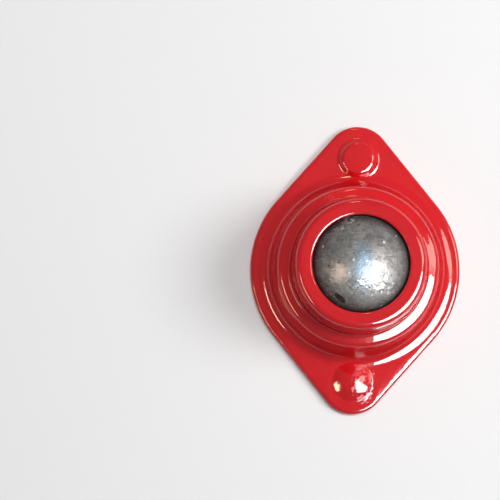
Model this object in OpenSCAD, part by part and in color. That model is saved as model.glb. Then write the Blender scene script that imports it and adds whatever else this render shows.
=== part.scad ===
/* [Balls] */
// Diameter of the load ball
ball_d = 25.4; // [20:0.1:32]
// Diameter of the small support balls
support_d = 3.175; // [2.5:0.025:4]
// Rows of support balls, counted from the single one at the bottom
ball_rows = 6; // [4:1:6]
// Free play between rolling surfaces, on the radius
ball_play = 0.08; // [0.03:0.01:0.15]

/* [Bearing cup] */
// Wall of the hardened cup
cup_t = 1.4; // [1:0.1:2.5]
// How far the cup reaches above the top row's contact
cup_rise = 0.5; // [0.3:0.1:1]

/* [Top cap] */
// Sheet thickness of the cap
cap_t = 1.2; // [0.8:0.1:1.5]
// Diameter of the opening that holds the ball in
opening_d = 22.8; // [22:0.1:24]
// Gap between the opening's edge and the ball
lip_gap = 0.5; // [0.3:0.05:0.6]
// Round of the opening's rolled lip
lip_round = 0.6; // [0.3:0.05:0.6]
// Radius at the cap's shoulder, measured at the outer corner
shoulder_r = 15.2; // [14.6:0.1:15.4]
// Round of the cap's shoulder
cap_shoulder = 1.5; // [1.4:0.1:2]
// Round where the wall turns out into the brim
cap_bend = 0.7; // [0.5:0.1:1]
// Space between the top row of balls and the cap's wall
row_gap = 0.45; // [0.3:0.05:1]

/* [Flange housing] */
// Width of the flange
flange_w = 50.8; // [48:0.1:60]
// Length of the flange over its tips
flange_l = 69.85; // [66:0.05:80]
// Distance between the fixing holes
hole_pitch = 53.98; // [53:0.02:60]
// Diameter of the fixing holes
hole_d = 5.2; // [4.6:0.1:6]
// Sheet thickness of the flange
flange_t = 2; // [1.5:0.1:2.5]
// Round on the flange's top edge
edge_round = 0.9; // [0.4:0.1:1.1]
// Round on the flange's bottom edge
edge_break = 0.3; // [0.1:0.05:0.4]
// Wall of the upstand beside the cup's brim
wall_t = 2.15; // [1.8:0.05:2.5]
// Thickness of the rim rolled over the cap's brim
rim_t = 1.5; // [1:0.1:2]
// Height of the bead where the rim's edge turns up against the cap
bead_h = 0.8; // [0.8:0.05:1.2]
// Thickness of that bead
bead_t = 0.15; // [0.1:0.05:0.3]
// Radius of the hollow between the bead and the rim's top
bead_round = 0.8; // [0.4:0.05:0.9]
// Width of the rim's top, from its inner edge to its brow
brow_w = 1.9; // [1.7:0.1:2.2]
// Fall of the rim's top over that width
brow_fall = 0.35; // [0.2:0.05:0.6]
// Round of the brow
brow_round = 2; // [1:0.1:2.2]
// Fall from the rim's inner edge to the top of the wall
shoulder_fall = 3; // [2.4:0.1:3.4]
// Round between the shoulder and the wall
shoulder_round = 2.5; // [1:0.1:3]
// Width of the brims that the rim holds down
brim_w = 1.6; // [1.2:0.1:2]
// How much wider the upstand is at its foot, on the radius
wall_draft = 0.5; // [0.2:0.05:1]
// Width of the shoulder that the cup's brim sits on
seat_w = 0.6; // [0.4:0.05:1]
// Radius of the fillet between upstand and flange
foot_fillet = 3.5; // [2:0.1:3.5]

/* [Rivets] */
// Diameter of the shank
shank_d = 4.8; // [4:0.1:5]
// Length of the shank below the flange
shank_below = 7; // [4:0.5:12]
// Diameter of the domed head
head_d = 8.6; // [7:0.1:9.5]
// Height of the head's dome
head_h = 1.3; // [0.8:0.1:2]
// Height of the straight edge under the dome
head_edge = 0.25; // [0.1:0.05:0.5]
// Chamfer on the shank's end
tail_chamfer = 0.4; // [0.2:0.1:0.8]

/* [Fits] */
// Gap between the brims and the upstand's bore
brim_gap = 0.25; // [0.1:0.05:0.4]
// Gap between the rolled rim's inner edge and the cap's wall
rim_gap = 0.12; // [0.05:0.01:0.3]
// Space round a rivet head in its seat
head_gap = 0.2; // [0.1:0.05:0.4]
// Gap between a rivet's swelled neck and its hole
neck_gap = 0.05; // [0.02:0.01:0.15]

/* [Hidden] */
$fn = 96;
ARC_STEPS = 8;  // straight steps in a round of a section
EDGE_STEPS = 4;  // and in the blank's edge
SKIN = 1;  // how far a cutting shape runs past what it cuts

// Rolling track: radii from the ball's centre
ball_r = ball_d / 2;
support_r = support_d / 2;
track_r = ball_r + ball_play + support_r;
cup_in_r = track_r + support_r + ball_play;
ball_z = cup_in_r + cup_t;

// Rows of support balls
ball_space = support_d + ball_play;
row_step = asin(ball_space / track_r);
top_angle = (ball_rows - 1) * row_step;
function row_r(row) = track_r * sin(row * row_step);
function row_z(row) = ball_z - track_r * cos(row * row_step);
function row_count(row) = row == 0 ? 1 : floor(180 / asin(ball_space / (2 * row_r(row))) + 0.001);

// Heights of the stack that the rolled rim clamps
cup_top_z = ball_z - cup_in_r * cos(top_angle) + cup_rise;
seat_z = cup_top_z - cup_t;
brim_top_z = cup_top_z + cap_t;

// Cap: its wall clears the top row, and its lip is a round that stands off the ball
land_r = ball_r + lip_gap;
lip_r = opening_d / 2 + lip_round;
lip_z = ball_z + sqrt(pow(land_r + lip_round, 2) - pow(lip_r, 2));
face_z = lip_z + lip_round;
cap_foot_r = row_r(ball_rows - 1) + support_r + row_gap + cap_t;

// Housing: rim, bore, shoulder and foot around the cap and cup
rim_r = cap_foot_r + rim_gap;
brim_r = rim_r + brim_w;
bore_r = brim_r + brim_gap;
wall_r = bore_r + wall_t;
foot_r = wall_r + wall_draft;
rim_z = brim_top_z + rim_t;
throat_r = bore_r - seat_w;
mouth_r = foot_r + foot_fillet;
side_r = flange_w / 2;
tip_r = (flange_l - hole_pitch) / 2;

ENDS = [["front", -1], ["rear", 1]];
SINGLE_ROWS = min(4, ball_rows);
function ball_name(row, i) = str("support_ball_", row + 1, "_", i + 1);
function row_name(row) = str("support_balls_row_", row + 1);

// A chain of points with a round of the given radius at each inner point
function unit(v) = v / norm(v);
function round_at(before, corner, after, r, steps) =
    let (
        u = unit(before - corner),
        v = unit(after - corner),
        half = acos(u * v) / 2,
        centre = corner + unit(u + v) * r / sin(half),
        start = corner + u * r / tan(half) - centre,
        end = corner + v * r / tan(half) - centre,
        a = atan2(start.y, start.x),
        sweep = (atan2(end.y, end.x) - a + 540) % 360 - 180
    )
    [for (k = [0:steps]) centre + r * [cos(a + sweep * k / steps), sin(a + sweep * k / steps)]];
function rounded(path, radii, steps = ARC_STEPS) = [
    for (i = [0:len(path) - 1])
        for (p = i == 0 || i == len(path) - 1 || radii[i] == 0
            ? [path[i]]
            : round_at(path[i - 1], path[i], path[i + 1], radii[i], steps)) p
];

// The same chain moved sideways, to its left, by a sheet's thickness
function left_of(v) = [-v.y, v.x];
function heading(path, i) = unit(path[i + 1] - path[i]);
function moved(path, d) = [
    for (i = [0:len(path) - 1])
        let (
            a = left_of(heading(path, max(i - 1, 0))),
            b = left_of(heading(path, min(i, len(path) - 2)))
        )
        path[i] + d * (a + b) / (1 + a * b)
];
function turned(list) = [for (i = [len(list) - 1:-1:0]) list[i]];

// Disc with the flange's rounded edge
module flange_disc(r) {
    edge = rounded(
        [[0, 0], [r, 0], [r, flange_t], [0, flange_t]],
        [0, edge_break, edge_round, 0],
        EDGE_STEPS
    );
    rotate_extrude($fn = 72) polygon(edge);
}

// Diamond blank: a disc for the upstand and one for each fixing hole, in one outline
module flange_blank() {
    hull() {
        flange_disc(side_r);
        for (end = ENDS) translate([0, end[1] * hole_pitch / 2, 0]) flange_disc(tip_r);
    }
}

// Section of the upstand: bead, rim, shoulder, wall and foot fillet outside, then the
// swept mouth, the seat for the cup, and the bore up to the rim inside
module upstand() {
    throat_foot = throat_r + 0.2;
    bead_z = rim_z + bead_h;
    bead_r = rim_r - (cap_foot_r - shoulder_r) * (bead_z - brim_top_z) / (face_z - brim_top_z);
    outside = rounded(
        [
            [rim_r, brim_top_z + rim_t / 2],
            [bead_r, bead_z],
            [bead_r + bead_t, bead_z],
            [bead_r + bead_t, rim_z],
            [rim_r + brow_w, rim_z - brow_fall],
            [wall_r, rim_z - shoulder_fall],
            [foot_r, flange_t],
            [mouth_r, flange_t],
        ],
        [0, 0, 0, bead_round, brow_round, shoulder_round, foot_fillet, 0]
    );
    inside = rounded(
        [
            [mouth_r, 0],
            [throat_foot, 0],
            [throat_r, seat_z],
            [bore_r, seat_z],
            [bore_r, brim_top_z],
            [rim_r, brim_top_z],
            [rim_r, brim_top_z + rim_t / 2],
        ],
        [0, mouth_r - throat_foot - 0.2, 0, 0, 0, rim_t / 4, 0]
    );
    rotate_extrude() polygon(concat(outside, inside));
}

module flange_housing() {
    color([0.82, 0.13, 0.14])
    difference() {
        union() {
            difference() {
                flange_blank();
                translate([0, 0, -SKIN]) cylinder(r = mouth_r - 0.2, h = flange_t + 2 * SKIN);
            }
            upstand();
        }
        for (end = ENDS) translate([0, end[1] * hole_pitch / 2, 0]) {
            translate([0, 0, -SKIN]) cylinder(d = hole_d, h = flange_t + 2 * SKIN);
            translate([0, 0, flange_t]) cylinder(d = head_d + 2 * head_gap, h = foot_fillet);
        }
    }
}

// Sheet section: the lip's round, from where it is nearest the ball up to the face, the top
// surface out to the brim, and the same surface moved in by the sheet's thickness
module top_cap() {
    lip_turn = 90 + atan2(lip_z - ball_z, lip_r);
    lip = [
        for (k = [ARC_STEPS:-1:1])
            let (a = 90 + lip_turn * k / ARC_STEPS)
            [lip_r + lip_round * cos(a), lip_z + lip_round * sin(a)]
    ];
    land_foot_r = sqrt(pow(land_r, 2) - pow(face_z - cap_t - ball_z, 2));
    wall = [[shoulder_r, face_z], [cap_foot_r, brim_top_z], [brim_r, brim_top_z]];
    top = rounded(concat([[lip_r, face_z]], wall), [0, cap_shoulder, cap_bend, 0]);
    under = moved(concat([[land_foot_r, face_z]], wall), -cap_t);
    inside = rounded(under, [0, cap_shoulder - cap_t, cap_bend + cap_t, 0]);
    color([0.82, 0.13, 0.14]) rotate_extrude() polygon(concat(lip, top, turned(inside)));
}

module bearing_cup() {
    color([0.55, 0.56, 0.58])
    rotate_extrude()
    difference() {
        union() {
            intersection() {
                translate([0, ball_z]) circle(cup_in_r + cup_t);
                square([cup_in_r + cup_t, cup_top_z]);
            }
            translate([0, seat_z]) square([brim_r, cup_t]);
        }
        translate([0, ball_z]) circle(cup_in_r);
        translate([-brim_r, 0]) square([brim_r, ball_z + cup_in_r]);
    }
}

module main_ball() {
    color([0.42, 0.43, 0.44]) translate([0, 0, ball_z]) sphere(ball_r);
}

module support_ball(row, i) {
    angle = 360 * i / row_count(row) + 180 * (row % 2) / row_count(row);
    color([0.75, 0.76, 0.78])
    rotate([0, 0, angle]) translate([row_r(row), 0, row_z(row)]) sphere(support_r, $fn = 48);
}

// Domed head, neck swelled into the hole, and shank
module rivet(side) {
    neck_r = hole_d / 2 - neck_gap;
    shank_r = shank_d / 2;
    dome_r = (pow(head_d / 2, 2) + pow(head_h, 2)) / (2 * head_h);
    color([0.82, 0.13, 0.14])
    translate([0, side * hole_pitch / 2, 0])
    rotate_extrude() {
        translate([0, flange_t]) square([head_d / 2, head_edge]);
        intersection() {
            translate([0, flange_t + head_edge + head_h - dome_r]) circle(dome_r);
            translate([0, flange_t + head_edge]) square([head_d / 2, head_h]);
        }
        polygon([
            [0, -shank_below],
            [shank_r - tail_chamfer, -shank_below],
            [shank_r, -shank_below + tail_chamfer],
            [shank_r, 0],
            [neck_r, 0],
            [neck_r, flange_t],
            [0, flange_t],
        ]);
    }
}

flange_housing();
top_cap();
bearing_cup();
main_ball();
for (end = ENDS) rivet(end[1]);
for (row = [0:SINGLE_ROWS - 1]) for (i = [0:row_count(row) - 1])
    support_ball(row, i);
for (row = [SINGLE_ROWS:1:ball_rows - 1])
    for (i = [0:row_count(row) - 1]) support_ball(row, i);
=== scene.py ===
"""Finish, light and camera for a two-hole flange-mount ball transfer unit.

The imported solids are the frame. The painted housing, cap and rivets and the worn load ball
are modelled over their solids, and the bearing parts keep theirs with finishes of their own.
"""

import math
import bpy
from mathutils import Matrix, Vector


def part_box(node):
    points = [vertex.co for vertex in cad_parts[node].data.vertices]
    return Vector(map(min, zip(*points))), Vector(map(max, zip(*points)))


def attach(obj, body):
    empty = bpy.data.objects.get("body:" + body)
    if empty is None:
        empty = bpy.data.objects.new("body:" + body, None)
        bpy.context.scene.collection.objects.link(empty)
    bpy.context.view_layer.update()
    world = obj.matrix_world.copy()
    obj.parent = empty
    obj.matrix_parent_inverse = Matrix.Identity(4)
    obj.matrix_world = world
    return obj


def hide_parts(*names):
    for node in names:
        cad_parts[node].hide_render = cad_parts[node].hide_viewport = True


bl_info = {
    "name": "Ball Transfer Unit",
    "version": (1, 0, 0),
    "blender": (4, 5, 0),
    "location": "3D View > Sidebar > Ball Unit",
    "description": "Models and finishes a flange-mount ball transfer unit around its solids",
    "category": "Object",
}

import bpy
from bpy.props import FloatProperty, FloatVectorProperty, IntProperty, PointerProperty
from mathutils import Matrix, Vector

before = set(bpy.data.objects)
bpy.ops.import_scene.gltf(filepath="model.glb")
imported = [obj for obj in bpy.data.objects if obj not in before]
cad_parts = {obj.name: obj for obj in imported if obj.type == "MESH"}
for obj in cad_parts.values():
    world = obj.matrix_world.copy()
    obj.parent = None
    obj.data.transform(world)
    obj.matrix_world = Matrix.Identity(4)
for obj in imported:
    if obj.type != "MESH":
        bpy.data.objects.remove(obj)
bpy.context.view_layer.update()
MM = 0.001
WELD = 1e-6  # points closer than this are one
FLAT = 0.999  # upright share of a level face's normal
LONG_EDGE = 3 * MM  # a straight edge longer than this is divided
LONG_EDGE_CUTS = 23
FILLET_REACH = 0.9  # how far the foot fillet goes out, as a share of its radius
BEAD_EDGE = 0.06 * MM  # round on the bead's two corners
THROAT_DRAFT = 0.2 * MM  # how much wider the throat is at its foot
EDGE_REACH = 0.5  # how far a rivet's edge round goes in, as a share of its radius
SKIN = 0.01 * MM  # gap that keeps a cutter off the face it stops at
RIVET_SEGMENTS = 96
ARC_STEPS = 24
BALL_CUTS = 47  # on each side of the cube that becomes the ball
WHITE = (1.0, 1.0, 1.0)

HOUSING_LOW, HOUSING_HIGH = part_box("flange_housing")
CAP_LOW, CAP_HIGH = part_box("top_cap")
BALL_LOW, BALL_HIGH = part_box("main_ball")
FRONT_LOW, FRONT_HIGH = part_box("front_rivet")
REAR_LOW, REAR_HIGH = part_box("rear_rivet")
BALL_RADIUS = (BALL_HIGH.z - BALL_LOW.z) / 2
BALL_CENTRE_Z = (BALL_HIGH.z + BALL_LOW.z) / 2
HOLE_Y = (REAR_HIGH.y + REAR_LOW.y) / 2
BRIM_RADIUS = CAP_HIGH.x


def size(name, what, default):
    """A length that a user may change, given here in millimetres."""
    return FloatProperty(
        name=name, description=what, default=default * MM, min=0.0, precision=5, unit="LENGTH"
    )


def place(name, what, default):
    """A point that a user may move, given here in millimetres."""
    return FloatVectorProperty(
        name=name,
        description=what,
        size=3,
        default=[v * MM for v in default],
        precision=4,
        subtype="TRANSLATION",
        unit="LENGTH",
    )


def angle(name, what, default):
    """An angle that a user may change, given here in degrees."""
    return FloatProperty(
        name=name, description=what, default=math.radians(default), unit="ROTATION"
    )


def power(name, what, default):
    """A lamp's power in watts, that a user may change."""
    return FloatProperty(name=name, description=what, default=default, min=0.0, unit="POWER")


def amount(name, what, default):
    """A factor that a user may change."""
    return FloatProperty(
        name=name, description=what, default=default, min=0.0, max=4.0, subtype="FACTOR"
    )


def tint(name, what, default):
    """A linear colour that a user may change."""
    return FloatVectorProperty(
        name=name, description=what, subtype="COLOR", size=3, default=default, min=0.0, max=1.0
    )


class BALLUNIT_PG_housing(bpy.types.PropertyGroup):
    """Sizes of the pressed flange housing."""

    sheet: size("Sheet", "Thickness of the flange", 2.0)
    tip_radius: size("Tip radius", "Radius of the flange's two tips", 7.935)
    edge_round: size("Edge round", "Round on the flange's top edge", 0.9)
    edge_break: size("Edge break", "Round on the flange's bottom edge", 0.3)
    foot_radius: size("Foot radius", "Outer radius of the upstand at its foot", 20.92)
    foot_fillet: size("Foot fillet", "Fillet between upstand and flange", 3.5)
    rim_radius: size("Rim radius", "Radius of the rim's inner edge", 16.41)
    rim_height: size("Rim height", "Height of the rim's inner edge, without its bead", 13.98)
    rim_thickness: size("Rim thickness", "Thickness of the rolled rim", 1.5)
    bead_top_radius: size("Bead top radius", "Radius of the bead's top, at the cap", 16.12)
    bead_thickness: size("Bead thickness", "Thickness of the bead against the cap", 0.22)
    bead_height: size("Bead height", "Height of the bead over the rim", 0.78)
    bead_round: size("Bead round", "Radius of the hollow between bead and rim", 0.8)
    brow_width: size("Brow width", "Width of the rim's top up to its brow", 2.7)
    brow_fall: size("Brow fall", "Fall of the rim's top up to its brow", 0.5)
    brow_round: size("Brow round", "Round of the brow", 1.6)
    bore_radius: size("Bore radius", "Radius of the bore round the brims", 18.27)
    seat_width: size("Seat width", "Width of the shoulder under the cup's brim", 0.6)
    seat_height: size("Seat height", "Height of that shoulder over the flange's underside", 9.88)
    hole_diameter: size("Hole diameter", "Diameter of the fixing holes", 5.2)
    head_space: size("Head space", "Space round a rivet head", 0.2)


class BALLUNIT_PG_cap(bpy.types.PropertyGroup):
    """Sizes of the pressed cap."""

    sheet: size("Sheet", "Thickness of the cap", 1.2)
    opening: size("Opening", "Diameter of the opening that holds the ball in", 22.8)
    ball_gap: size("Ball gap", "Gap between the opening's edge and the ball", 0.5)
    lip_round: size("Lip round", "Round of the opening's rolled lip", 0.6)
    shoulder_radius: size("Shoulder radius", "Radius at the shoulder's outer corner", 15.2)
    shoulder_round: size("Shoulder round", "Round of the shoulder", 1.5)
    foot_radius: size("Foot radius", "Outer radius of the wall at the brim", 16.3)
    bend: size("Bend", "Round where the wall turns out into the brim", 0.7)


class BALLUNIT_PG_rivet(bpy.types.PropertyGroup):
    """Sizes of the two rivets."""

    head_diameter: size("Head diameter", "Diameter of the head", 8.6)
    dome_rise: size("Dome rise", "Rise of the front head's dome inside its edge", 0.7)
    flat_rise: size("Flat rise", "Rise of the rear head's flatter dome", 0.15)
    edge_round: size("Edge round", "Round on the head's edge", 1.3)
    side_lean: size("Side lean", "How far the head's side leans out to its foot", 1.1)
    foot_round: size("Foot round", "Hollow of the paint at the head's foot", 1.3)
    paint_foot: size("Paint foot", "Width of the paint drawn round the head's foot", 1.6)
    sink: size("Sink", "How far the head's foot goes into the flange", 0.02)
    neck_diameter: size("Neck diameter", "Diameter of the neck swelled into the hole", 5.1)
    shank_diameter: size("Shank diameter", "Diameter of the shank", 4.8)
    tail_chamfer: size("Tail chamfer", "Chamfer on the shank's end", 0.4)


class BALLUNIT_PG_finish(bpy.types.PropertyGroup):
    """Colours and wear."""

    paint: tint("Paint", "Colour of the gloss paint", (0.66, 0.008, 0.014))
    paint_deep: tint("Deep paint", "Colour where the paint lies thick", (0.52, 0.006, 0.011))
    wall_gloss: amount("Wall gloss", "How glossy the thinner paint on steep faces is", 0.25)
    peel: amount("Orange peel", "Depth of the paint's waviness", 0.35)
    steel: tint("Ball steel", "Colour of the worn ball", (0.31, 0.312, 0.308))
    steel_dark: tint("Stained steel", "Colour of the ball's dark stains", (0.075, 0.076, 0.073))
    # Painted shade: the colour the ball is darkened to just under the lip.
    steel_lip_shade: tint("Painted lip shade", "Colour of the ball's painted dark band under the lip", (0.03, 0.029, 0.03))
    # Painted highlight: the colour of the warm highlight painted onto the ball.
    steel_warm_highlight: tint("Painted warm highlight", "Colour of the ball's warm highlight spot", (0.56, 0.53, 0.50))
    pit: tint("Pit", "Colour in the ball's pits and dark mark", (0.010, 0.011, 0.012))
    fleck: tint("Fleck", "Colour of the ball's bright flecks", (0.75, 0.75, 0.74))
    # Painted reflection: the colour of the bluish light painted onto the ball.
    blue_reflection_tint: tint("Painted blue reflection colour", "Colour of the ball's painted bluish reflection", (0.15, 0.25, 0.35))
    scratches: amount("Scratches", "How much the ball is scratched", 0.2)
    zinc: tint("Zinc", "Colour of the bare rivet shanks", (0.55, 0.56, 0.57))
    hard_steel: tint("Hardened steel", "Colour of the cup and support balls", (0.42, 0.43, 0.45))


class BALLUNIT_PG_stage(bpy.types.PropertyGroup):
    """Floor, lamps and camera."""

    floor: tint("Floor", "Colour of the floor", (0.85, 0.85, 0.85))
    world: amount("World", "Strength of the even light all round", 0.22)
    key_power: power("Key lamp", "Power of the soft lamp from the front right", 2.2)
    fill_power: power("Fill lamp", "Power of the lamp that lightens the shade", 3.7)
    card_power: power("Key card", "Power of the white card seen in gloss", 11.5)
    side_power: power("Side card", "Power of the dim card seen in gloss", 1.0)
    warm_power: power("Warm card", "Power of the warm card seen in gloss", 1.0)
    far_power: power("Far card", "Power of the small card seen in gloss", 0.18)
    camera_place: place("Camera place", "Where the camera stands", (-33.2, -36.1, 540.0))
    camera_aim: place("Camera aim", "Point at the middle of the picture", (-25.6, 4.2, 0.0))
    camera_roll: angle("Camera roll", "Turn about the line of sight", 1.6)
    camera_angle: angle("Camera angle", "Width of the view", 12.8)


class BALLUNIT_PG_unit(bpy.types.PropertyGroup):
    """All settings of the unit."""

    segments: IntProperty(
        name="Segments", description="Steps round each turned piece", default=192, min=24, max=512
    )
    housing: PointerProperty(type=BALLUNIT_PG_housing)
    cap: PointerProperty(type=BALLUNIT_PG_cap)
    rivet: PointerProperty(type=BALLUNIT_PG_rivet)
    finish: PointerProperty(type=BALLUNIT_PG_finish)
    stage: PointerProperty(type=BALLUNIT_PG_stage)


# ---------------------------------------------------------------- modelling


def rounded(points, radii, steps=8):
    """A chain of (radius, height) points with a round of the given radius at each inner point."""
    chain = [Vector(points[0])]
    for before, corner, after, radius in zip(points, points[1:], points[2:], radii[1:]):
        corner = Vector(corner)
        if radius == 0:
            chain.append(corner)
            continue
        a = (Vector(before) - corner).normalized()
        b = (Vector(after) - corner).normalized()
        half = a.angle(b) / 2
        centre = corner + (a + b).normalized() * radius / math.sin(half)
        start = corner + a * radius / math.tan(half) - centre
        sweep = start.angle_signed(corner + b * radius / math.tan(half) - centre)
        for k in range(steps + 1):
            turn = Matrix.Rotation(-sweep * k / steps, 2)
            chain.append(centre + turn @ start)
    chain.append(Vector(points[-1]))
    return chain


def moved(points, distance):
    """The same chain moved to its left by a distance, as a sheet's other side is."""
    out = []
    last = len(points) - 1
    for i, point in enumerate(points):
        before = Vector(points[max(i, 1)]) - Vector(points[max(i, 1) - 1])
        after = Vector(points[min(i, last - 1) + 1]) - Vector(points[min(i, last - 1)])
        a = Vector((-before.y, before.x)).normalized()
        b = Vector((-after.y, after.x)).normalized()
        out.append(Vector(point) + (a + b) * distance / (1 + a.dot(b)))
    return out


def start_mesh(add, **settings):
    """Adds a primitive by itself and goes into edit mode with all of it selected."""
    bpy.ops.object.select_all(action="DESELECT")
    add(**settings)
    bpy.ops.object.mode_set(mode="EDIT")
    bpy.ops.mesh.select_mode(type="VERT")
    bpy.ops.mesh.select_all(action="SELECT")
    return bpy.context.object


def end_mesh(piece, name):
    """Leaves edit mode and puts the piece's place in its mesh."""
    bpy.ops.object.mode_set(mode="OBJECT")
    bpy.ops.object.transform_apply(location=True, rotation=True, scale=True)
    piece.name = name
    piece.data.name = name
    return piece


def select_only(piece):
    bpy.ops.object.select_all(action="DESELECT")
    piece.select_set(True)
    bpy.context.view_layer.objects.active = piece


def apply_all(piece):
    """Applies every modifier on the piece, in order."""
    select_only(piece)
    for modifier in list(piece.modifiers):
        bpy.ops.object.modifier_apply(modifier=modifier.name)


def turned(name, section, segments, closed=False):
    """Spins a section of (radius, height) points about Z into a shell."""
    first = Vector(section[0])
    piece = start_mesh(
        bpy.ops.mesh.primitive_plane_add, size=MM, location=(first.x, 0, first.y)
    )
    bpy.ops.mesh.merge(type="CENTER")
    here = first
    for point in section[1:]:
        step = Vector(point) - here
        bpy.ops.mesh.extrude_vertices_move(
            TRANSFORM_OT_translate={"value": (step.x, 0, step.y)}
        )
        here = Vector(point)
    bpy.ops.mesh.select_all(action="SELECT")
    if closed:
        bpy.ops.mesh.remove_doubles(threshold=WELD)
    bpy.ops.mesh.spin(steps=segments, angle=2 * math.pi, center=(0, 0, 0), axis=(0, 0, 1))
    bpy.ops.mesh.select_all(action="SELECT")
    bpy.ops.mesh.remove_doubles(threshold=WELD)
    bpy.ops.mesh.normals_make_consistent(inside=False)
    return end_mesh(piece, name)


def choose(piece, kind, test):
    """Selects the vertices, edges or faces of a mesh that pass a test, in object mode."""
    bpy.ops.object.mode_set(mode="OBJECT")
    mesh = piece.data
    for group in (mesh.vertices, mesh.edges, mesh.polygons):
        for item in group:
            item.select = False
    for item in getattr(mesh, kind):
        item.select = test(item)
    bpy.ops.object.mode_set(mode="EDIT")
    bpy.ops.mesh.select_mode(
        type={"vertices": "VERT", "edges": "EDGE", "polygons": "FACE"}[kind]
    )


def cut(piece, tool):
    """Takes a tool's shape out of the piece."""
    modifier = piece.modifiers.new("Cut", "BOOLEAN")
    modifier.operation = "DIFFERENCE"
    modifier.solver = "EXACT"
    modifier.object = tool
    apply_all(piece)
    bpy.data.objects.remove(tool)


def rod(radius, low, high, y=0.0, segments=96):
    """A plain cylinder, used as a cutting tool."""
    bpy.ops.object.select_all(action="DESELECT")
    bpy.ops.mesh.primitive_cylinder_add(
        vertices=segments, radius=radius, depth=high - low, location=(0, y, (low + high) / 2)
    )
    return bpy.context.object


def smooth(piece, angle=35):
    """Smooth shading with flat faces kept flat."""
    select_only(piece)
    bpy.ops.object.shade_smooth_by_angle(angle=math.radians(angle))
    modifier = piece.modifiers.new("Flat faces", "WEIGHTED_NORMAL")
    modifier.keep_sharp = True
    apply_all(piece)


def flange_outline(sheet, side, tip, hole_y, segments):
    """The diamond blank: a disc for the upstand and one at each hole, in one skin."""
    blank = start_mesh(
        bpy.ops.mesh.primitive_cylinder_add,
        vertices=segments,
        radius=side,
        depth=sheet,
        location=(0, 0, sheet / 2),
    )
    for y in (-hole_y, hole_y):
        bpy.ops.mesh.primitive_cylinder_add(
            vertices=segments // 2, radius=tip, depth=sheet, location=(0, y, sheet / 2)
        )
    bpy.ops.mesh.select_all(action="SELECT")
    bpy.ops.mesh.convex_hull(join_triangles=False)
    bpy.ops.mesh.select_all(action="SELECT")
    bpy.ops.mesh.dissolve_limited(angle_limit=math.radians(0.5))
    return end_mesh(blank, "flange_blank")


def level_edges(mesh, z):
    """Indices of the edges that lie at a height."""
    points = mesh.vertices
    return {e.index for e in mesh.edges if all(abs(points[v].co.z - z) < WELD for v in e.vertices)}


def round_rim(blank, z, radius, segments):
    """Rounds the edge that runs round a blank at a height, and opens the flat face inside it."""
    at = level_edges(blank.data, z)
    choose(blank, "edges", lambda e: e.index in at)
    bpy.ops.mesh.bevel(offset=radius, offset_type="OFFSET", segments=segments, profile=0.5)
    choose(
        blank,
        "polygons",
        lambda f: abs(f.center.z - z) < WELD and abs(f.normal.z) > FLAT and len(f.vertices) > 8,
    )
    bpy.ops.mesh.delete(type="ONLY_FACE")
    bpy.ops.object.mode_set(mode="OBJECT")


def open_edges(mesh, z):
    """Indices of the edges at a height that have a face on one side only."""
    faces = [0] * len(mesh.edges)
    index = {tuple(sorted(e.vertices)): e.index for e in mesh.edges}
    for face in mesh.polygons:
        for pair in face.edge_keys:
            faces[index[tuple(sorted(pair))]] += 1
    return {i for i in level_edges(mesh, z) if faces[i] == 1}


def bridge_level(piece, z):
    """Fills the flat ring between the two open loops at a height, long edges divided first."""
    mesh = piece.data
    points = mesh.vertices
    at = open_edges(mesh, z)
    ends = {i: [points[v].co for v in mesh.edges[i].vertices] for i in at}
    long = {i for i, (a, b) in ends.items() if (a - b).length > LONG_EDGE}
    if long:
        choose(piece, "edges", lambda e: e.index in long)
        bpy.ops.mesh.subdivide(number_cuts=LONG_EDGE_CUTS)
        bpy.ops.object.mode_set(mode="OBJECT")
    at = open_edges(mesh, z)
    choose(piece, "edges", lambda e: e.index in at)
    bpy.ops.mesh.bridge_edge_loops()
    bpy.ops.object.mode_set(mode="OBJECT")


# ---------------------------------------------------------------- materials


class Nodes:
    """Short calls for building a node tree."""

    def __init__(self, tree):
        self.tree = tree
        tree.nodes.clear()

    def add(self, kind, inputs=None, **settings):
        node = self.tree.nodes.new(kind)
        for key, value in settings.items():
            setattr(node, key, value)
        for key, value in (inputs or {}).items():
            if isinstance(value, bpy.types.NodeSocket):
                self.tree.links.new(value, node.inputs[key])
            else:
                node.inputs[key].default_value = value
        return node

    def math(self, operation, a, b=0.5, clamp=False):
        node = self.add("ShaderNodeMath", {0: a, 1: b}, operation=operation, use_clamp=clamp)
        return node.outputs[0]

    def blend(self, *shares):
        """Adds up (value, share) pairs."""
        total = 0.0
        for value, share in shares:
            total = self.add(
                "ShaderNodeMath", {0: value, 1: share, 2: total}, operation="MULTIPLY_ADD"
            ).outputs[0]
        return total

    def ramp(self, value, low, high, to_low=0.0, to_high=1.0):
        node = self.add(
            "ShaderNodeMapRange",
            {
                "Value": value,
                "From Min": low,
                "From Max": high,
                "To Min": to_low,
                "To Max": to_high,
            },
            interpolation_type="SMOOTHSTEP",
        )
        return node.outputs["Result"]

    def mix(self, factor, a, b):
        node = self.add("ShaderNodeMix", data_type="RGBA")
        for socket, value in ((node.inputs[0], factor), (node.inputs[6], a), (node.inputs[7], b)):
            if isinstance(value, bpy.types.NodeSocket):
                self.tree.links.new(value, socket)
            else:
                socket.default_value = value
        return node.outputs[2]

    def noise(self, vector, scale, detail=3.0, roughness=0.55, distortion=0.0):
        node = self.add(
            "ShaderNodeTexNoise",
            {
                "Vector": vector,
                "Scale": scale,
                "Detail": detail,
                "Roughness": roughness,
                "Distortion": distortion,
            },
        )
        return node.outputs["Fac"]


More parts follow.
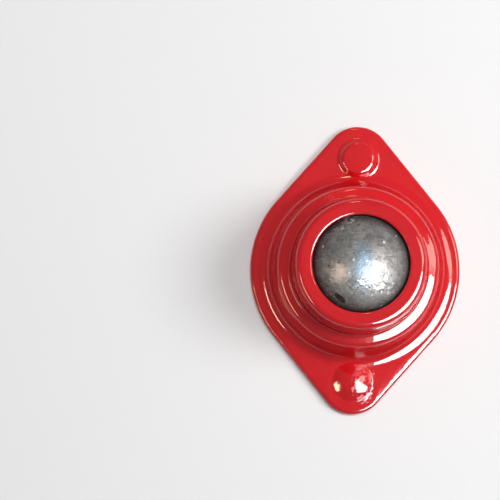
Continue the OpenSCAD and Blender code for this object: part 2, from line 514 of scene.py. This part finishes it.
def effect(name, inputs, outputs):
    """An empty shader node group with named inputs (floats or vectors) and float outputs."""
    group = bpy.data.node_groups.new(name, "ShaderNodeTree")
    nodes = Nodes(group)
    group.interface.new_socket("Vector", in_out="INPUT", socket_type="NodeSocketVector")
    for key, value in inputs.items():
        kind = "NodeSocketVector" if isinstance(value, tuple) else "NodeSocketFloat"
        group.interface.new_socket(key, in_out="INPUT", socket_type=kind).default_value = value
    for key in outputs:
        group.interface.new_socket(key, in_out="OUTPUT", socket_type="NodeSocketFloat")
    source = nodes.add("NodeGroupInput")
    sink = nodes.add("NodeGroupOutput")
    return nodes, source.outputs, sink.inputs


def orange_peel_effect():
    """Waviness of sprayed gloss paint: broad sags under a fine peel."""
    nodes, source, sink = effect(
        "Orange peel", {"Sag Scale": 90.0, "Peel Scale": 900.0, "Peel Share": 0.3}, ["Height"]
    )
    sag = nodes.noise(source["Vector"], source["Sag Scale"], detail=2.0, distortion=0.6)
    peel = nodes.noise(source["Vector"], source["Peel Scale"], detail=1.0)
    height = nodes.math("MULTIPLY_ADD", peel, source["Peel Share"])
    nodes.tree.links.new(sag, height.node.inputs[2])
    nodes.tree.links.new(height, sink["Height"])


def nib_effect():
    """Dust nibs and small runs caught in paint."""
    nodes, source, sink = effect("Paint nibs", {"Scale": 260.0, "Share": 0.10}, ["Mask"])
    cells = nodes.add(
        "ShaderNodeTexVoronoi",
        {"Vector": source["Vector"], "Scale": source["Scale"]},
        feature="F1",
    )
    dot = nodes.ramp(cells.outputs["Distance"], 0.24, 0.08)
    chance = nodes.add("ShaderNodeSeparateColor", {"Color": cells.outputs["Color"]})
    few = nodes.math("LESS_THAN", chance.outputs[0], source["Share"])
    nodes.tree.links.new(nodes.math("MULTIPLY", dot, few), sink["Mask"])


SCRATCH_TURNS = ((0.3, 0.2, 0.9), (1.0, -0.5, 2.2), (-0.4, 0.8, 0.1), (0.6, 1.0, -0.7))


def scratch_effect():
    """Short thin scratches that run several ways: broken bands of stretched noise."""
    nodes, source, sink = effect(
        "Scratches", {"Scale": 90.0, "Stretch": 12.0, "Width": 0.02, "Share": 0.4}, ["Mask"]
    )
    stretch = nodes.add("ShaderNodeCombineXYZ", {0: 1.0, 1: source["Stretch"], 2: 1.0}).outputs[0]
    low = nodes.math("SUBTRACT", 0.75, nodes.math("MULTIPLY", source["Share"], 0.5))
    total = None
    for k, turn in enumerate(SCRATCH_TURNS):
        mapped = nodes.add(
            "ShaderNodeMapping",
            {
                "Vector": source["Vector"],
                "Location": (k, 2 * k, 3 * k),
                "Rotation": turn,
                "Scale": stretch,
            },
        ).outputs[0]
        band = nodes.noise(mapped, source["Scale"], detail=1.0)
        off = nodes.math("ABSOLUTE", nodes.math("SUBTRACT", band, 0.5))
        line = nodes.math("SUBTRACT", 1.0, nodes.math("DIVIDE", off, source["Width"]), clamp=True)
        patch = nodes.noise(
            nodes.add(
                "ShaderNodeMapping", {"Vector": source["Vector"], "Location": (3 * k, k, 0)}
            ).outputs[0],
            260.0,
            detail=1.0,
        )
        line = nodes.math("MULTIPLY", line, nodes.ramp(patch, low, nodes.math("ADD", low, 0.08)))
        total = line if total is None else nodes.math("MAXIMUM", total, line)
    nodes.tree.links.new(total, sink["Mask"])


def pit_effect():
    """Scattered round pits or specks, of uneven size."""
    nodes, source, sink = effect("Pits", {"Scale": 1500.0, "Share": 0.06, "Size": 0.3}, ["Mask"])
    waver = nodes.add("ShaderNodeTexNoise", {"Vector": source["Vector"], "Scale": 2500.0})
    waver = nodes.add(
        "ShaderNodeVectorMath", {0: waver.outputs["Color"], "Scale": 0.3 * MM}, operation="SCALE"
    )
    bent = nodes.add(
        "ShaderNodeVectorMath", {0: source["Vector"], 1: waver.outputs[0]}, operation="ADD"
    ).outputs[0]
    cells = nodes.add("ShaderNodeTexVoronoi", {"Vector": bent, "Scale": source["Scale"]})
    chance = nodes.add("ShaderNodeSeparateColor", {"Color": cells.outputs["Color"]}).outputs
    few = nodes.math("LESS_THAN", chance[0], source["Share"])
    reach = nodes.math("MULTIPLY", source["Size"], nodes.math("ADD", chance[1], 0.4))
    away = nodes.math("DIVIDE", cells.outputs["Distance"], reach)
    dot = nodes.math("SUBTRACT", 1.0, away, clamp=True)
    nodes.tree.links.new(nodes.math("MULTIPLY", dot, few), sink["Mask"])


def patch_effect():
    """One soft, ragged oval patch about a point."""
    nodes, source, sink = effect(
        "Patch",
        {
            "Centre": (0.0, 0.0, 0.0),
            "Turn": (0.0, 0.0, 0.0),
            "Size": (1.0, 1.0, 1.0),
            "Edge": 0.3,
            "Ragged": 0.3,
        },
        ["Mask"],
    )
    away = nodes.add(
        "ShaderNodeVectorMath", {0: source["Vector"], 1: source["Centre"]}, operation="SUBTRACT"
    ).outputs[0]
    flat = nodes.add(
        "ShaderNodeVectorRotate",
        {"Vector": away, "Rotation": source["Turn"]},
        rotation_type="EULER_XYZ",
    ).outputs[0]
    share = nodes.add(
        "ShaderNodeVectorMath", {0: flat, 1: source["Size"]}, operation="DIVIDE"
    ).outputs[0]
    reach = nodes.add("ShaderNodeVectorMath", {0: share}, operation="LENGTH").outputs["Value"]
    rough = nodes.math("SUBTRACT", nodes.noise(source["Vector"], 900.0, detail=4.0), 0.5)
    ragged = nodes.math("MULTIPLY", source["Ragged"], 4.0)
    reach = nodes.math("ADD", reach, nodes.math("MULTIPLY", rough, ragged))
    inner = nodes.math("SUBTRACT", 1.0, source["Edge"])
    outer = nodes.math("ADD", 1.0, source["Edge"])
    nodes.tree.links.new(nodes.ramp(reach, inner, outer, 1.0, 0.0), sink["Mask"])


def mottle_effect():
    """Slow change of tone over a surface, from 0 to 1."""
    nodes, source, sink = effect("Mottle", {"Scale": 120.0, "Contrast": 0.3}, ["Value"])
    noise = nodes.noise(source["Vector"], source["Scale"], detail=5.0, roughness=0.62)
    low = nodes.math("SUBTRACT", 0.5, source["Contrast"])
    high = nodes.math("ADD", 0.5, source["Contrast"])
    ramp = nodes.ramp(noise, low, high)
    nodes.tree.links.new(ramp, sink["Value"])


def use(nodes, name, vector, **inputs):
    """Puts an effect in a material with its own values and returns its outputs."""
    node = nodes.tree.nodes.new("ShaderNodeGroup")
    node.node_tree = bpy.data.node_groups[name]
    nodes.tree.links.new(vector, node.inputs["Vector"])
    for key, value in inputs.items():
        node.inputs[key.replace("_", " ")].default_value = value
    return node.outputs


def new_material(name):
    """Adds a material and returns its nodes, its Principled shader and object coordinates."""
    material = bpy.data.materials.new(name)
    material.use_nodes = True
    nodes = Nodes(material.node_tree)
    shader = nodes.add("ShaderNodeBsdfPrincipled")
    out = nodes.add("ShaderNodeOutputMaterial", {"Surface": shader.outputs[0]})
    out.is_active_output = True
    coords = nodes.add("ShaderNodeTexCoord").outputs["Object"]
    return nodes, shader, coords


def solid(colour):
    return (*colour, 1.0)


PATCHES = {  # in metres: paint from the frame's origin, steel from the ball's centre
    "paint run": {
        "Centre": (-0.0077, 0.0150, 0.0145),
        "Size": (0.0024, 0.0015, 0.005),
        "Edge": 0.4,
        "Ragged": 0.3,
    },
    "paint dent": {
        "Centre": (0.0022, -0.0278, 0.0034),
        "Size": (0.0022, 0.0034, 0.004),
        "Edge": 0.4,
        "Ragged": 0.3,
    },
    # Painted reflection: where the ball's bluish reflection is painted.
    "blue reflection": {
        "Centre": (0.0, -0.0010, 0.0126),
        "Size": (0.0022, 0.0052, 0.004),
        "Edge": 0.55,
        "Ragged": 0.6,
    },
    # Painted highlight: where the ball's warm highlight is painted.
    "warm highlight spot": {
        "Centre": (-0.0051, -0.0024, 0.0114),
        "Size": (0.0016, 0.0019, 0.004),
        "Edge": 0.7,
        "Ragged": 0.5,
    },
    "worn belt": {
        "Centre": (0.0032, -0.0052, 0.0112),
        "Size": (0.0052, 0.0021, 0.004),
        "Edge": 0.6,
        "Ragged": 0.5,
    },
    "worn rim": {
        "Centre": (-0.0042, 0.0093, 0.0075),
        "Turn": (0.0, 0.0, -0.7),
        "Size": (0.0030, 0.0012, 0.004),
        "Edge": 0.5,
        "Ragged": 0.5,
    },
    "dark mark": {
        "Centre": (-0.0048, -0.0083, 0.0083),
        "Turn": (0.0, 0.0, 0.71),
        "Size": (0.0016, 0.0006, 0.0016),
        "Edge": 0.15,
        "Ragged": 0.12,
    },
}


def patch(nodes, name, vector):
    """One named patch as a mask."""
    return use(nodes, "Patch", vector, **PATCHES[name])["Mask"]


def red_paint(finish):
    """Thick gloss enamel over pressed steel."""
    nodes, shader, coords = new_material("Red gloss enamel")
    tone = use(nodes, "Mottle", coords, Scale=45.0, Contrast=0.35)["Value"]
    nodes.tree.links.new(
        nodes.mix(tone, solid(finish.paint_deep), solid(finish.paint)), shader.inputs["Base Color"]
    )
    fine = use(nodes, "Mottle", coords, Scale=700.0, Contrast=0.3)["Value"]
    nodes.tree.links.new(nodes.ramp(fine, 0, 1, 0.12, 0.2), shader.inputs["Roughness"])
    peel = use(nodes, "Orange peel", coords)["Height"]
    nib = use(nodes, "Paint nibs", coords)["Mask"]
    run = patch(nodes, "paint run", coords)
    wrinkle = nodes.math("MULTIPLY", run, nodes.noise(coords, 1300.0, detail=2.0))
    dent = patch(nodes, "paint dent", coords)
    dent = nodes.math("MULTIPLY", dent, nodes.noise(coords, 480.0, detail=1.0))
    height = nodes.blend((peel, 1.0), (nib, 0.8), (wrinkle, 5.0), (dent, 9.0))
    bump = nodes.add(
        "ShaderNodeBump", {"Height": height, "Strength": finish.peel, "Distance": 0.12 * MM}
    )
    nodes.tree.links.new(bump.outputs[0], shader.inputs["Normal"])
    shader.inputs["Specular IOR Level"].default_value = 0.15
    facing = nodes.add("ShaderNodeSeparateXYZ", {0: coords.node.outputs["Normal"]}).outputs["Z"]
    nodes.tree.links.new(
        nodes.ramp(facing, 0.35, 0.85, finish.wall_gloss, 1.0), shader.inputs["Coat Weight"]
    )
    shader.inputs["Coat IOR"].default_value = 1.52
    shader.inputs["Coat Roughness"].default_value = 0.03
    nodes.tree.links.new(bump.outputs[0], shader.inputs["Coat Normal"])


def worn_steel(finish):
    """Dull bearing steel: mottled, pitted and flecked, with a painted bluish reflection, a painted
    warm highlight and a painted shade band under the lip.
    """
    nodes, shader, coords = new_material("Worn ball steel")
    centred = nodes.add(
        "ShaderNodeMapping", {"Vector": coords, "Location": (0, 0, -BALL_CENTRE_Z)}
    ).outputs[0]
    cloud = use(nodes, "Mottle", centred, Scale=150.0, Contrast=0.2)["Value"]
    stain = use(nodes, "Mottle", centred, Scale=520.0, Contrast=0.14)["Value"]
    grit = use(nodes, "Mottle", centred, Scale=1900.0, Contrast=0.2)["Value"]
    tone = nodes.blend((cloud, 0.26), (stain, 0.4), (grit, 0.34))
    base = nodes.mix(tone, solid(finish.steel_dark), solid(finish.steel))
    drawn = nodes.add("ShaderNodeMapping", {"Vector": centred, "Scale": (3.0, 0.7, 1.0)})
    streaks = nodes.noise(drawn.outputs[0], 900.0)
    # Painted reflection: a bluish, streaky patch near the top of the ball, standing in for bluish
    # light mirrored there.
    bluish_reflection = patch(nodes, "blue reflection", centred)
    bluish_reflection = nodes.math("MULTIPLY", bluish_reflection, nodes.ramp(streaks, 0.36, 0.6, 0.15, 0.9))
    base = nodes.mix(bluish_reflection, base, solid(finish.blue_reflection_tint))
    # Painted shade: a darker band round the ball, about 1 to 10 mm over its centre, just under the
    # lip where the lip and the gap shade it.
    height = nodes.add("ShaderNodeSeparateXYZ", {0: centred}).outputs["Z"]
    lip_shade = nodes.math(
        "MULTIPLY",
        nodes.ramp(height, 0.0098, 0.0051, 0.0, 0.93),
        nodes.ramp(height, 0.0008, 0.0036),
    )
    base = nodes.mix(lip_shade, base, solid(finish.steel_lip_shade))
    # Painted highlight: a pale warm spot on the ball's lower left, standing in for the warm card's
    # reflection.
    warm_highlight = patch(nodes, "warm highlight spot", centred)
    base = nodes.mix(nodes.math("MULTIPLY", warm_highlight, 0.6), base, solid(finish.steel_warm_highlight))
    worn = patch(nodes, "worn belt", centred)
    rubbed = patch(nodes, "worn rim", centred)
    worn = nodes.math("MAXIMUM", worn, rubbed)
    flecks = nodes.ramp(nodes.noise(centred, 950.0, detail=3.0), 0.52, 0.6)
    chips = nodes.ramp(nodes.noise(centred, 800.0, detail=3.0), 0.46, 0.38)
    mark = patch(nodes, "dark mark", centred)
    pits = use(nodes, "Pits", centred, Scale=1300.0, Share=0.11, Size=0.4)["Mask"]
    specks = use(nodes, "Pits", coords, Scale=1000.0, Share=0.06, Size=0.38)["Mask"]
    scratch = use(nodes, "Scratches", centred)["Mask"]
    chipped = nodes.math("MULTIPLY", chips, nodes.math("MULTIPLY", worn, 0.8))
    dark = nodes.math("MAXIMUM", pits, chipped)
    dark = nodes.math("MAXIMUM", dark, nodes.math("MULTIPLY", mark, 0.92))
    base = nodes.mix(dark, base, solid(finish.pit))
    flecked = nodes.math("MULTIPLY", flecks, nodes.math("MULTIPLY", worn, 0.6))
    bright = nodes.math("MAXIMUM", specks, flecked)
    bright = nodes.math("MAXIMUM", bright, nodes.math("MULTIPLY", scratch, finish.scratches))
    base = nodes.mix(bright, base, solid(finish.fleck))
    nodes.tree.links.new(base, shader.inputs["Base Color"])
    nodes.tree.links.new(nodes.ramp(tone, 0, 1, 0.54, 0.42), shader.inputs["Roughness"])
    shader.inputs["Metallic"].default_value = 0.42
    shader.inputs["Specular Tint"].default_value = (0.5, 0.5, 0.5, 1.0)
    height = nodes.blend((grit, 0.8), (stain, 1.2), (dark, -1.5))
    bump = nodes.add("ShaderNodeBump", {"Height": height, "Strength": 0.8, "Distance": 0.03 * MM})
    nodes.tree.links.new(bump.outputs[0], shader.inputs["Normal"])


def plain_steel(name, colour, rough, scale):
    """Clean machined or plated steel with a slight change of sheen."""
    nodes, shader, coords = new_material(name)
    tone = use(nodes, "Mottle", coords, Scale=scale, Contrast=0.3)["Value"]
    dark = tuple(0.75 * c for c in colour)
    nodes.tree.links.new(nodes.mix(tone, solid(dark), solid(colour)), shader.inputs["Base Color"])
    nodes.tree.links.new(nodes.ramp(tone, 0, 1, rough, rough + 0.12), shader.inputs["Roughness"])
    shader.inputs["Metallic"].default_value = 1.0


def make_materials(finish):
    """Builds the shared effects and then every finish."""
    for build in (
        orange_peel_effect, nib_effect, scratch_effect, pit_effect, patch_effect, mottle_effect
    ):
        build()
    red_paint(finish)
    worn_steel(finish)
    plain_steel("Zinc plate", finish.zinc, 0.28, 500.0)
    plain_steel("Hardened steel", finish.hard_steel, 0.22, 300.0)


def dress(piece, *names):
    """Gives a piece its materials."""
    piece.data.materials.clear()
    for name in names:
        piece.data.materials.append(bpy.data.materials[name])


# ---------------------------------------------------------------- pieces


class BALLUNIT_OT_materials(bpy.types.Operator):
    """Build the shared effects and the finishes"""

    bl_idname = "ballunit.materials"
    bl_label = "Finishes"

    def execute(self, context):
        make_materials(context.scene.ball_unit.finish)
        return {"FINISHED"}


class BALLUNIT_OT_housing(bpy.types.Operator):
    """Model the painted flange housing"""

    bl_idname = "ballunit.housing"
    bl_label = "Flange housing"

    def section(self, h):
        """The upstand's section, from the flange's top over the rim and down the bore."""
        top = h.rim_height
        mouth = h.foot_radius + h.foot_fillet
        throat = h.bore_radius - h.seat_width
        brim_top = top - h.rim_thickness
        bead_top = top + h.bead_height
        bead = h.bead_top_radius + h.bead_thickness
        outside = rounded(
            [
                (h.foot_radius + FILLET_REACH * h.foot_fillet, h.sheet),
                (h.foot_radius, h.sheet),
                (h.rim_radius + h.brow_width, top - h.brow_fall),
                (bead, top),
                (bead, bead_top),
                (h.bead_top_radius, bead_top),
                (h.rim_radius, brim_top + h.rim_thickness / 2),
            ],
            [0, h.foot_fillet, h.brow_round, h.bead_round, BEAD_EDGE, BEAD_EDGE, 0],
            12,
        )
        inside = rounded(
            [
                (h.rim_radius, brim_top + h.rim_thickness / 2),
                (h.rim_radius, brim_top),
                (h.bore_radius, brim_top),
                (h.bore_radius, h.seat_height),
                (throat, h.seat_height),
                (throat + THROAT_DRAFT, 0),
                (mouth, 0),
            ],
            [0, h.rim_thickness / 4, 0, 0, 0, mouth - throat - 2 * THROAT_DRAFT, 0],
        )
        return outside + inside[1:]

    def execute(self, context):
        unit = context.scene.ball_unit
        h = unit.housing
        sheet = h.sheet
        upstand = turned("flange_housing_painted", self.section(h), unit.segments)
        blank = flange_outline(sheet, HOUSING_HIGH.x, h.tip_radius, HOLE_Y, unit.segments)
        round_rim(blank, sheet, h.edge_round, 6)
        round_rim(blank, 0.0, h.edge_break, 3)
        select_only(upstand)
        blank.select_set(True)
        bpy.ops.object.join()
        bridge_level(upstand, sheet)
        bridge_level(upstand, 0.0)
        bpy.ops.object.mode_set(mode="EDIT")
        bpy.ops.mesh.select_all(action="SELECT")
        bpy.ops.mesh.normals_make_consistent(inside=False)
        bpy.ops.object.mode_set(mode="OBJECT")
        head = FRONT_HIGH.x + h.head_space
        for y in (-HOLE_Y, HOLE_Y):
            cut(upstand, rod(h.hole_diameter / 2, -MM, sheet + MM, y))
            cut(upstand, rod(head, sheet + SKIN, sheet + h.foot_fillet, y))
        smooth(upstand)
        dress(upstand, "Red gloss enamel")
        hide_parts("flange_housing")
        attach(upstand, "housing")
        return {"FINISHED"}


class BALLUNIT_OT_cap(bpy.types.Operator):
    """Model the painted cap with its lipped opening"""

    bl_idname = "ballunit.cap"
    bl_label = "Top cap"

    def execute(self, context):
        unit = context.scene.ball_unit
        c = unit.cap
        face = CAP_HIGH.z
        brim = CAP_LOW.z + c.sheet
        land = BALL_RADIUS + c.ball_gap
        lip = Vector((c.opening / 2 + c.lip_round, face - c.lip_round))
        nearest = math.pi + math.atan2(lip.y - BALL_CENTRE_Z, lip.x)
        start = [
            lip + c.lip_round * Vector((math.cos(a), math.sin(a)))
            for a in (nearest + (math.pi / 2 - nearest) * k / 10 for k in range(10))
        ]
        foot = math.sqrt(land**2 - (face - c.sheet - BALL_CENTRE_Z) ** 2)
        wall = [(c.shoulder_radius, face), (c.foot_radius, brim), (BRIM_RADIUS, brim)]
        top = rounded([(lip.x, face)] + wall, [0, c.shoulder_round, c.bend, 0])
        under = moved([(foot, face)] + wall, -c.sheet)
        below = rounded(under, [0, c.shoulder_round - c.sheet, c.bend + c.sheet, 0])
        section = start + top + below[::-1] + start[:1]
        cap = turned("top_cap_painted", section, unit.segments, closed=True)
        smooth(cap)
        dress(cap, "Red gloss enamel")
        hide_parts("top_cap")
        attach(cap, "housing")
        return {"FINISHED"}


class BALLUNIT_OT_ball(bpy.types.Operator):
    """Model the worn load ball"""

    bl_idname = "ballunit.ball"
    bl_label = "Load ball"

    def execute(self, context):
        ball = start_mesh(
            bpy.ops.mesh.primitive_cube_add,
            size=2 * BALL_RADIUS,
            location=(0, 0, BALL_CENTRE_Z),
        )
        bpy.ops.mesh.subdivide(number_cuts=BALL_CUTS)
        bpy.ops.object.mode_set(mode="OBJECT")
        cast = ball.modifiers.new("Round", "CAST")
        cast.factor = 1.0
        cast.use_radius_as_size = False
        cast.size = BALL_RADIUS
        pits = bpy.data.textures.new("Pits", "CLOUDS")
        pits.noise_scale = 0.9 * MM
        pits.noise_depth = 2
        wear = ball.modifiers.new("Wear", "DISPLACE")
        wear.texture = pits
        wear.strength = 0.03 * MM
        wear.mid_level = 1.0
        apply_all(ball)
        bpy.ops.object.mode_set(mode="EDIT")
        end_mesh(ball, "main_ball_worn")
        smooth(ball, 60)
        dress(ball, "Worn ball steel")
        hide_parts("main_ball")
        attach(ball, "load_ball")
        return {"FINISHED"}


class BALLUNIT_OT_rivets(bpy.types.Operator):
    """Model the two rivets, the front head domed and the rear one flatter"""

    bl_idname = "ballunit.rivets"
    bl_label = "Rivets"

    def section(self, r, seat, rise):
        """A rivet's section, from its top over the painted foot and down the shank."""
        head = r.head_diameter / 2
        neck = r.neck_diameter / 2
        shank = r.shank_diameter / 2
        top, tail = FRONT_HIGH.z, FRONT_LOW.z
        brink = head - r.side_lean / 2
        flat = brink - r.edge_round * EDGE_REACH
        dome = (flat**2 + rise**2) / (2 * rise)
        slope = math.asin(flat / dome)
        arc = [
            (dome * math.sin(a), top - dome + dome * math.cos(a))
            for a in (slope * k / ARC_STEPS for k in range(ARC_STEPS + 1))
        ]
        foot = seat - r.sink
        edge = rounded(
            [
                arc[-1],
                (brink, top - rise - math.tan(slope) * (brink - flat)),
                (brink + r.side_lean, foot),
                (head + r.paint_foot, foot),
            ],
            [0, r.edge_round, r.foot_round, 0],
        )
        return (
            arc
            + edge[1:]
            + [
                (neck, foot),
                (neck, 0),
                (shank, 0),
                (shank, tail + r.tail_chamfer),
                (shank - r.tail_chamfer, tail),
                (0, tail),
            ]
        )

    def execute(self, context):
        unit = context.scene.ball_unit
        r = unit.rivet
        for side, node, rise in ((-1, "front_rivet", r.dome_rise), (1, "rear_rivet", r.flat_rise)):
            section = self.section(r, unit.housing.sheet, rise)
            rivet = turned(node + "_painted", section, RIVET_SEGMENTS)
            smooth(rivet, 50)
            dress(rivet, "Red gloss enamel", "Zinc plate")
            for face in rivet.data.polygons:
                face.material_index = 1 if face.center.z < 0 else 0
            rivet.location = (0, side * HOLE_Y, 0)
            select_only(rivet)
            bpy.ops.object.transform_apply(location=True)
            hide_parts(node)
            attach(rivet, "housing")
        return {"FINISHED"}


class BALLUNIT_OT_bearing(bpy.types.Operator):
    """Finish the cup and the support balls"""

    bl_idname = "ballunit.bearing"
    bl_label = "Bearing parts"

    def execute(self, context):
        for name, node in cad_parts.items():
            if name == "bearing_cup" or name.startswith("support_ball"):
                node.data.materials.clear()
                node.data.materials.append(bpy.data.materials["Hardened steel"])
        return {"FINISHED"}


LAMPS = (
    # azimuth from +X towards +Y and tilt from upright in degrees, then distance, width and
    # height in metres, power, colour, and whether it is a card
    ("Key", 5, 44, 0.6, 0.30, 0.30, "key_power", WHITE, False),
    ("Fill", 80, 14, 0.9, 0.4, 0.4, "fill_power", WHITE, False),
    ("Key card", -33, 37, 0.5, 0.36, 0.42, "card_power", WHITE, True),
    ("Side card", 16, 44, 0.5, 0.15, 0.34, "side_power", (1.0, 0.74, 0.64), True),
    ("Warm card", -157, 52, 0.5, 0.26, 0.06, "warm_power", (1.0, 0.68, 0.46), True),
    ("Far card", 92, 50, 0.5, 0.05, 0.05, "far_power", (1.0, 0.62, 0.38), True),
)


class BALLUNIT_OT_stage(bpy.types.Operator):
    """Lay the floor, hang the lamps and set the camera"""

    bl_idname = "ballunit.stage"
    bl_label = "Floor, lamps and camera"

    def lamp(self, name, azimuth, tilt, distance, width, height, power, colour, card):
        """A soft lamp turned to the unit.

        A card lights gloss only, and any other lamp lights all but gloss.
        """
        a, t = math.radians(azimuth), math.radians(tilt)
        away = Vector((math.sin(t) * math.cos(a), math.sin(t) * math.sin(a), math.cos(t)))
        light = bpy.data.lights.new(name, "AREA")
        light.shape = "ELLIPSE"
        light.size, light.size_y = width, height
        light.energy = power
        light.color = colour
        lamp = bpy.data.objects.new(name, light)
        lamp.location = away * distance
        lamp.rotation_euler = away.to_track_quat("Z", "Y").to_euler()
        lamp.visible_diffuse = not card
        lamp.visible_glossy = card
        bpy.context.scene.collection.objects.link(lamp)

    def execute(self, context):
        s = context.scene.ball_unit.stage
        floor = start_mesh(bpy.ops.mesh.primitive_plane_add, size=4.0)
        end_mesh(floor, "floor")
        nodes, shader, coords = new_material("Pale floor")
        tone = use(nodes, "Mottle", coords, Scale=6.0, Contrast=0.3)["Value"]
        colour = nodes.mix(tone, solid(0.98 * Vector(s.floor)), solid(s.floor))
        nodes.tree.links.new(colour, shader.inputs["Base Color"])
        shader.inputs["Roughness"].default_value = 0.9
        shader.inputs["Specular IOR Level"].default_value = 0.0
        dress(floor, "Pale floor")
        world = bpy.data.worlds.new("Soft studio")
        world.use_nodes = True
        sky = world.node_tree.nodes["Background"].inputs
        sky["Color"].default_value = solid(WHITE)
        sky["Strength"].default_value = s.world
        context.scene.world = world
        for name, *where, strength, colour, card in LAMPS:
            self.lamp(name, *where, getattr(s, strength), colour, card)
        data = bpy.data.cameras.new("Camera")
        data.angle = s.camera_angle
        data.clip_start = 0.01
        camera = bpy.data.objects.new("Camera", data)
        stand = Vector(s.camera_place)
        back = (stand - Vector(s.camera_aim)).normalized()
        up = Vector((-math.sin(s.camera_roll), math.cos(s.camera_roll), 0))
        right = up.cross(back).normalized()
        up = back.cross(right)
        turn = Matrix((right, up, back)).transposed().to_4x4()
        camera.matrix_world = Matrix.Translation(stand) @ turn
        context.scene.collection.objects.link(camera)
        context.scene.camera = camera
        context.scene.view_settings.view_transform = "Standard"
        return {"FINISHED"}


class BALLUNIT_PT_panel(bpy.types.Panel):
    """Lists the unit's pieces"""

    bl_idname = "BALLUNIT_PT_panel"
    bl_label = "Ball Transfer Unit"
    bl_space_type = "VIEW_3D"
    bl_region_type = "UI"
    bl_category = "Ball Unit"

    def draw(self, context):
        for operator in OPERATORS:
            self.layout.operator(operator.bl_idname)
        unit = context.scene.ball_unit
        self.layout.prop(unit, "segments")
        for group in (unit.housing, unit.cap, unit.rivet, unit.finish, unit.stage):
            box = self.layout.box()
            for key in group.bl_rna.properties.keys():
                if key not in ("rna_type", "name"):
                    box.prop(group, key)


OPERATORS = (
    BALLUNIT_OT_materials,
    BALLUNIT_OT_housing,
    BALLUNIT_OT_cap,
    BALLUNIT_OT_ball,
    BALLUNIT_OT_rivets,
    BALLUNIT_OT_bearing,
    BALLUNIT_OT_stage,
)
CLASSES = (
    BALLUNIT_PG_housing,
    BALLUNIT_PG_cap,
    BALLUNIT_PG_rivet,
    BALLUNIT_PG_finish,
    BALLUNIT_PG_stage,
    BALLUNIT_PG_unit,
    *OPERATORS,
    BALLUNIT_PT_panel,
)


def register():
    for cls in CLASSES:
        bpy.utils.register_class(cls)
    bpy.types.Scene.ball_unit = PointerProperty(type=BALLUNIT_PG_unit)


def unregister():
    del bpy.types.Scene.ball_unit
    for cls in reversed(CLASSES):
        bpy.utils.unregister_class(cls)


def main():
    """Builds every piece in order."""
    register()
    bpy.ops.ballunit.materials()
    bpy.ops.ballunit.housing()
    bpy.ops.ballunit.cap()
    bpy.ops.ballunit.ball()
    bpy.ops.ballunit.rivets()
    bpy.ops.ballunit.bearing()
    bpy.ops.ballunit.stage()


if __name__ == "__main__":
    main()
